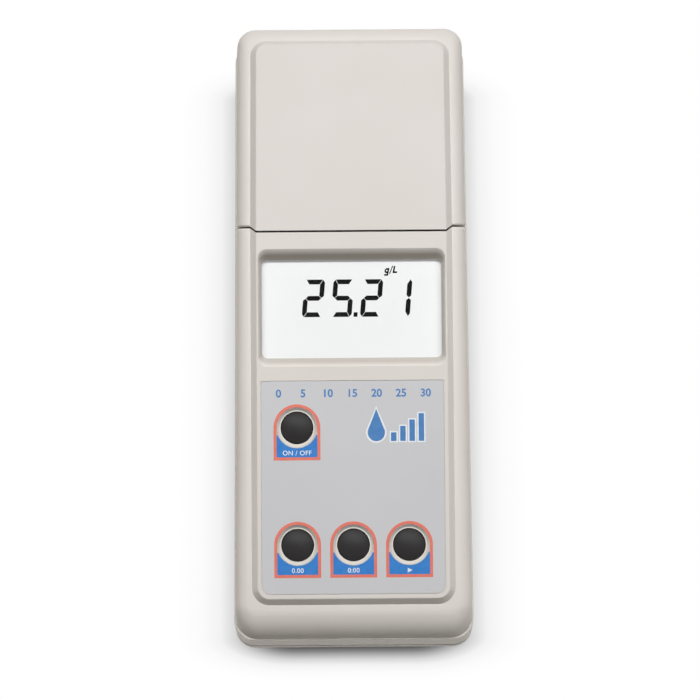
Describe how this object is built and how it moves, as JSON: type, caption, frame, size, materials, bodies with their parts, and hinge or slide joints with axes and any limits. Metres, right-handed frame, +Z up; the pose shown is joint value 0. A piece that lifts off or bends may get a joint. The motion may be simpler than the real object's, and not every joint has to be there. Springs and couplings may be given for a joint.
{
  "type": "photometer",
  "caption": "Handheld photometer with a sloping face, hinged lid over a round sample well, recessed display, film keypad label and domed push buttons.",
  "frame": {"origin": "on the table, under the middle of the case's outline", "axes": "+X to the right seen from the keys, +Y to the back where the lid's hinge is, +Z up"},
  "size_m": [0.0832, 0.22, 0.075],
  "materials": {
    "case_plastic": "fine matte texture, warm light beige",
    "lid_plastic": "fine matte texture, warm light beige",
    "base_plastic": "fine matte texture, warm light beige",
    "label_film": "printed polyester film, light grey",
    "button_rubber": "satin black silicone rubber",
    "window_clear": "clear flat window",
    "display_white": "pale reflective liquid-crystal panel",
    "steel": "plain steel",
    "black_plastic": "dull black moulding",
    "black_rubber": "dull black rubber",
    "black_foam": "open-cell black foam",
    "circuit_board": "green solder mask",
    "battery_jacket": "plain dark jacket",
    "lamp_glass": "clear bulb",
    "filter_glass": "narrow-band filter",
    "photocell_dark": "dark silicon face"
  },
  "bodies": {
    "case": {"upper_case": "case_plastic", "lower_case": "base_plastic", "keypad_label": "label_film", "display_window": "window_clear", "lcd_panel": "display_white", "hinge_pin": "steel", "case_screws": "steel", "board_screws": "steel", "detector_screws": "steel", "deck_screws": "steel", "well_deck": "black_plastic", "cell_holder": "black_plastic", "lamp_holder": "black_plastic", "lcd_frame": "black_plastic", "key_switches": "black_plastic", "battery_snap": "black_plastic", "board_parts": "black_plastic", "well_collar": "black_rubber", "feet": "black_rubber", "lcd_contacts": "black_rubber", "main_board": "circuit_board", "detector_board": "circuit_board", "battery": "battery_jacket", "lamp": "lamp_glass", "light_filter": "filter_glass", "photocell": "photocell_dark"},
    "lid": {"lid": "lid_plastic", "lid_foam": "black_foam"},
    "battery_cover": {"battery_cover": "base_plastic"},
    "power_button": {"power_button": "button_rubber"},
    "left_button": {"left_button": "button_rubber"},
    "middle_button": {"middle_button": "button_rubber"},
    "right_button": {"right_button": "button_rubber"}
  },
  "joints": [
    {"name": "lid_hinge", "type": "hinge", "parent": "case", "child": "lid", "pos_m": [0, 0.1051, 0.054], "axis": [-1, 0, 0], "range_deg": [0, 95]},
    {"name": "battery_cover_slide", "type": "slide", "parent": "case", "child": "battery_cover", "axis": [0, 1, 0], "range_m": [0, 0.03]},
    {"name": "power_button_press", "type": "slide", "parent": "case", "child": "power_button", "axis": [0, 0.1822, -0.9833], "range_m": [0, 0.0007], "stiffness_N_per_m": 1500, "springref_m": -0.0002},
    {"name": "left_button_press", "type": "slide", "parent": "case", "child": "left_button", "axis": [0, 0.1822, -0.9833], "range_m": [0, 0.0007], "stiffness_N_per_m": 1500, "springref_m": -0.0002},
    {"name": "middle_button_press", "type": "slide", "parent": "case", "child": "middle_button", "axis": [0, 0.1822, -0.9833], "range_m": [0, 0.0007], "stiffness_N_per_m": 1500, "springref_m": -0.0002},
    {"name": "right_button_press", "type": "slide", "parent": "case", "child": "right_button", "axis": [0, 0.1822, -0.9833], "range_m": [0, 0.0007], "stiffness_N_per_m": 1500, "springref_m": -0.0002}
  ]
}
